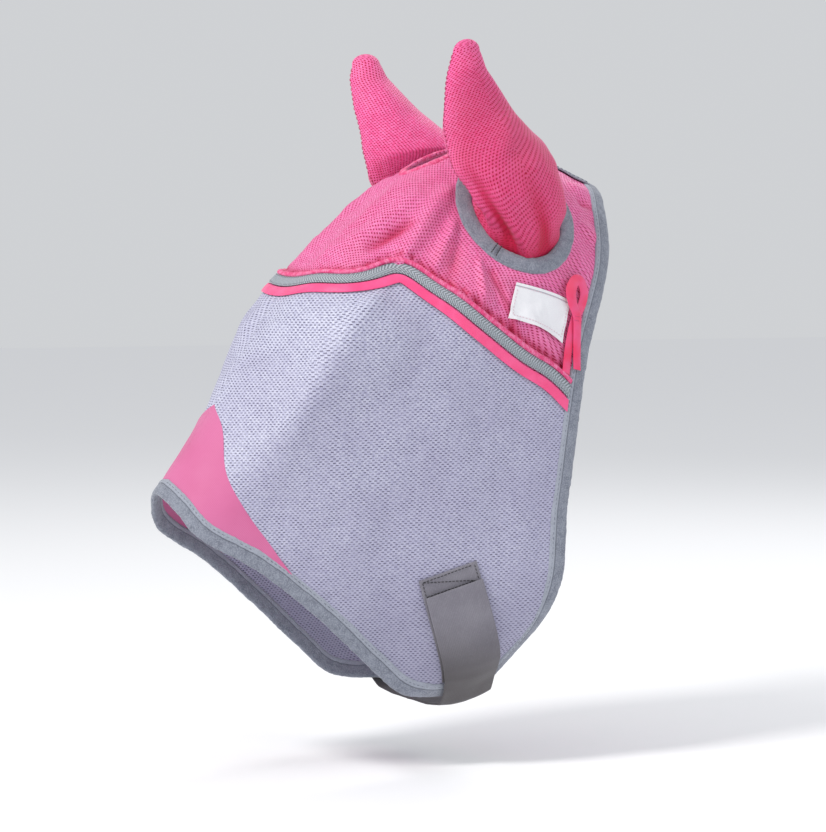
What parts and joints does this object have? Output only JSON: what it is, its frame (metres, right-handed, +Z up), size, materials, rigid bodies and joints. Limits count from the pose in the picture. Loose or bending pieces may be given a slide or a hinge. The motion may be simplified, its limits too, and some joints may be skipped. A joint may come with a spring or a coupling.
{
  "type": "horse fly mask with ear covers",
  "caption": "Sewn mesh fly mask for a horse's head with fleece-bound edges, tilting ear covers, a forelock hole and a strap that closes under the jaw.",
  "frame": {"origin": "inside of the crown at the poll, where the worn mask rests on the horse's head", "axes": "+Z up, -Y the way the horse faces, +X towards the horse's left side; the head is held with its nose down in front"},
  "size_m": [0.2248, 0.4179, 0.5673],
  "materials": {
    "face_mesh": "coated woven mesh, white and lavender grey",
    "nose_panel": "smooth knitted pink",
    "airmesh": "pink airmesh with small holes",
    "fleece": "short grey-blue heather fleece",
    "webbing": "grey herringbone webbing",
    "ribbon": "pink satin ribbon",
    "strap": "warm grey brushed tape",
    "hook": "dark woven hook tape",
    "label": "plain white woven label"
  },
  "bodies": {
    "mask": {"face_mesh": "face_mesh", "nose_panel": "nose_panel", "crown_mesh": "airmesh", "nose_binding": "fleece", "throat_binding_left": "fleece", "throat_binding_right": "fleece", "jaw_binding_left": "fleece", "jaw_binding_right": "fleece", "poll_binding": "fleece", "poll_patch": "fleece", "forelock_binding": "airmesh", "ear_ring_left": "fleece", "ear_ring_right": "fleece", "brow_webbing": "webbing", "brow_ribbon": "ribbon", "label_patch": "label", "ribbon_loop": "ribbon", "strap_anchor": "strap", "loop_patch": "strap"},
    "left_ear": {"ear_cover_left": "airmesh"},
    "right_ear": {"ear_cover_right": "airmesh"},
    "under_jaw_strap": {"jaw_strap": "strap"},
    "closing_tab": {"closure_tab": "strap", "tab_hook_pad": "hook"}
  },
  "joints": [
    {"name": "ear_left_tilt", "type": "hinge", "parent": "mask", "child": "left_ear", "pos_m": [0.06439, -0.07851, -0.03656], "axis": [0.5319, 0.111, -0.8395], "range_deg": [-10, 10]},
    {"name": "ear_right_tilt", "type": "hinge", "parent": "mask", "child": "right_ear", "pos_m": [-0.06439, -0.07851, -0.03656], "axis": [0.5319, -0.111, 0.8395], "range_deg": [-10, 10]},
    {"name": "strap_swing", "type": "hinge", "parent": "mask", "child": "under_jaw_strap", "pos_m": [-0.05974, -0.1234, -0.45456], "axis": [0.0348, 0.9796, 0.1977], "range_deg": [0, 80]},
    {"name": "tab_peel", "type": "hinge", "parent": "under_jaw_strap", "child": "closing_tab", "pos_m": [0.06038, -0.12327, -0.45505], "axis": [-0.0353, 0.9798, 0.1969], "range_deg": [0, 150]}
  ]
}
